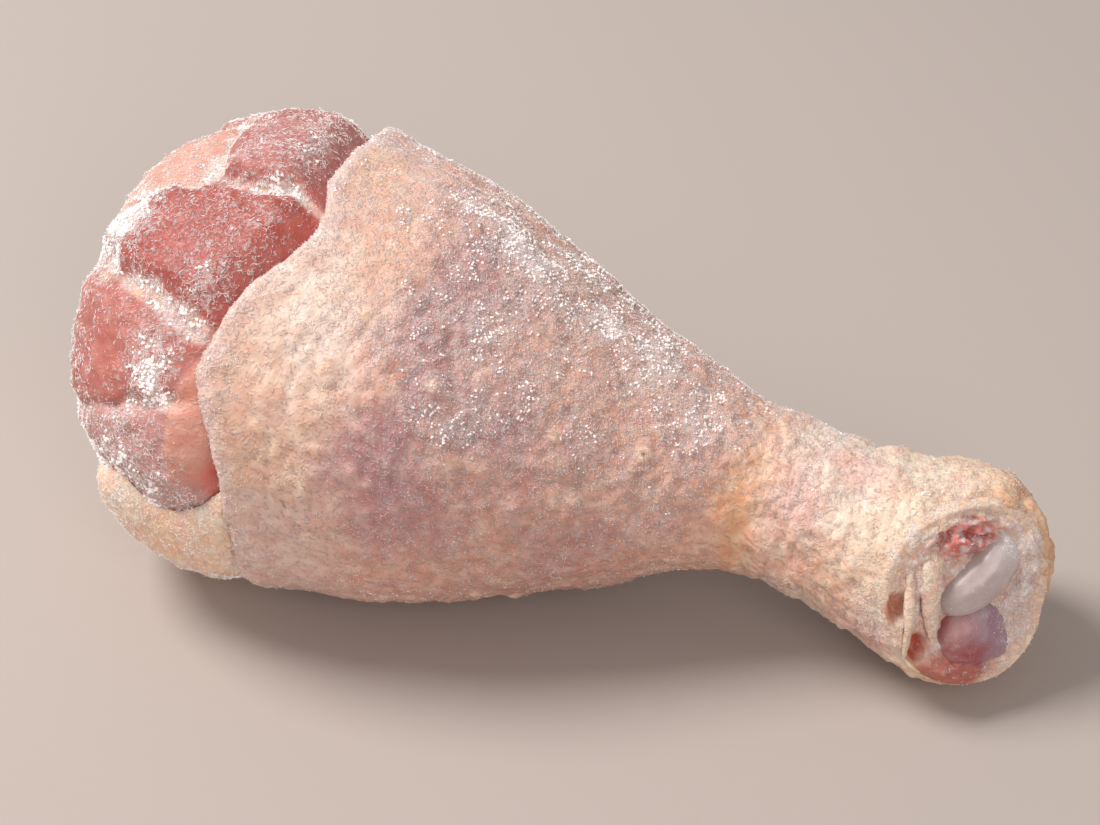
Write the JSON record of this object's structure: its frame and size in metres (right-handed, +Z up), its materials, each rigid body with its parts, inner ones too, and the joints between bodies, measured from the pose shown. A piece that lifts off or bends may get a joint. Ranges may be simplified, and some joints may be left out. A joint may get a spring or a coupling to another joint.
{
  "type": "raw chicken drumstick",
  "caption": "Frozen raw chicken drumstick on its side, bare muscle at the knee end, pale skin down to the cut hock joint, dusted with frost.",
  "frame": {"origin": "centre of the bounding box on the surface the drumstick lies on", "axes": "+X from the knee end to the hock, -Y the front, where the cut hock faces, +Z up"},
  "size_m": [0.1282, 0.0662, 0.0576],
  "materials": {
    "skin": "matt, cream to pink raw skin with frost",
    "skin_flap": "matt, cream raw skin with frost",
    "meat": "satin, dark pink raw muscle with frost",
    "shank_bone": "glossy grey-white cartilage",
    "joint_capsule": "satin pink gristle with frost",
    "tendon": "satin cream"
  },
  "bodies": {
    "root": {"skin": "skin", "skin_flap": "skin_flap", "meat": "meat", "shank_bone": "shank_bone", "joint_capsule": "joint_capsule", "tendon_1": "tendon", "tendon_2": "tendon"}
  },
  "joints": []
}
